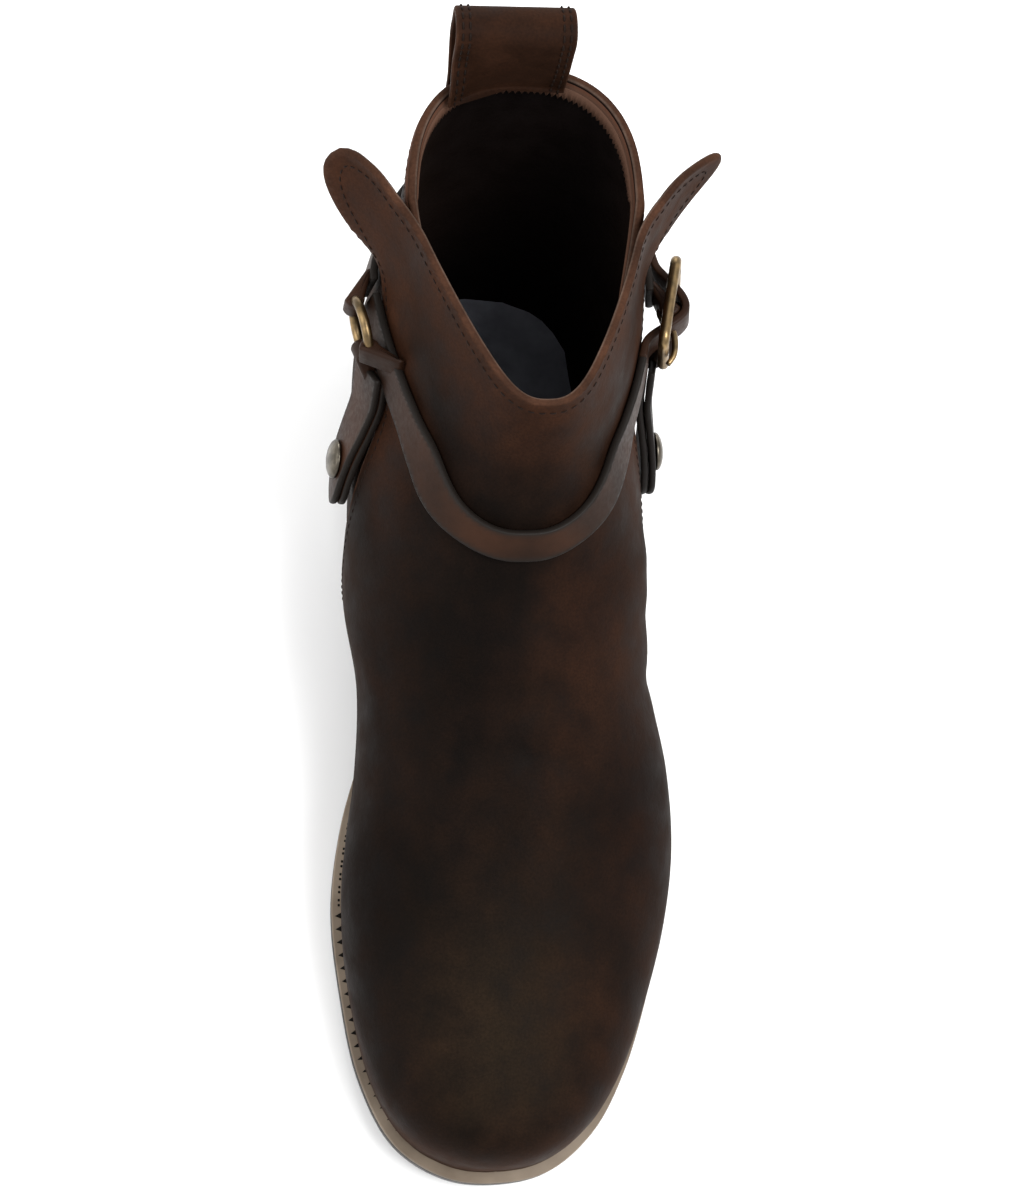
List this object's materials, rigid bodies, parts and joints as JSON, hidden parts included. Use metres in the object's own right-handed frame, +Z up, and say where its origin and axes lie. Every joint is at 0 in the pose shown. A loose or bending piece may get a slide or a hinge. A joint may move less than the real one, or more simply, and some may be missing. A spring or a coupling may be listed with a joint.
{
  "type": "jodhpur boot",
  "caption": "Ankle boot with a hollow hide upper, winged vamp, welted leather sole with stacked heel, and an ankle strap joined by a ring and a buckle.",
  "frame": {"origin": "on the floor under the middle of the heel", "axes": "+Z up, the toe points along -Y, +X is the outer side of the left foot"},
  "size_m": [0.1212, 0.3045, 0.2017],
  "materials": {
    "nubuck": "oiled nap, mottled dark brown",
    "strap_leather": "smooth waxed leather",
    "dark_leather": "smooth dark leather",
    "insole_leather": "matt lining leather",
    "welt_leather": "taupe storm welt, stitched",
    "sole_leather": "dressed dark edge",
    "heel_rubber": "matt black",
    "brass": "antique brass",
    "nickel": "aged nickel"
  },
  "bodies": {
    "root": {"outsole": "sole_leather", "welt": "welt_leather", "heel_top_piece": "heel_rubber", "heel_lift_1": "sole_leather", "heel_lift_2": "sole_leather", "heel_lift_3": "sole_leather", "upper": "nubuck", "insole": "insole_leather", "medial_ring": "brass", "buckle": "brass", "buckle_prong": "brass", "heel_strap": "strap_leather", "front_strap": "strap_leather", "medial_tab": "dark_leather", "medial_stud": "nickel", "lateral_tab": "dark_leather", "lateral_stud": "nickel", "pull_loop": "nubuck"}
  },
  "joints": []
}
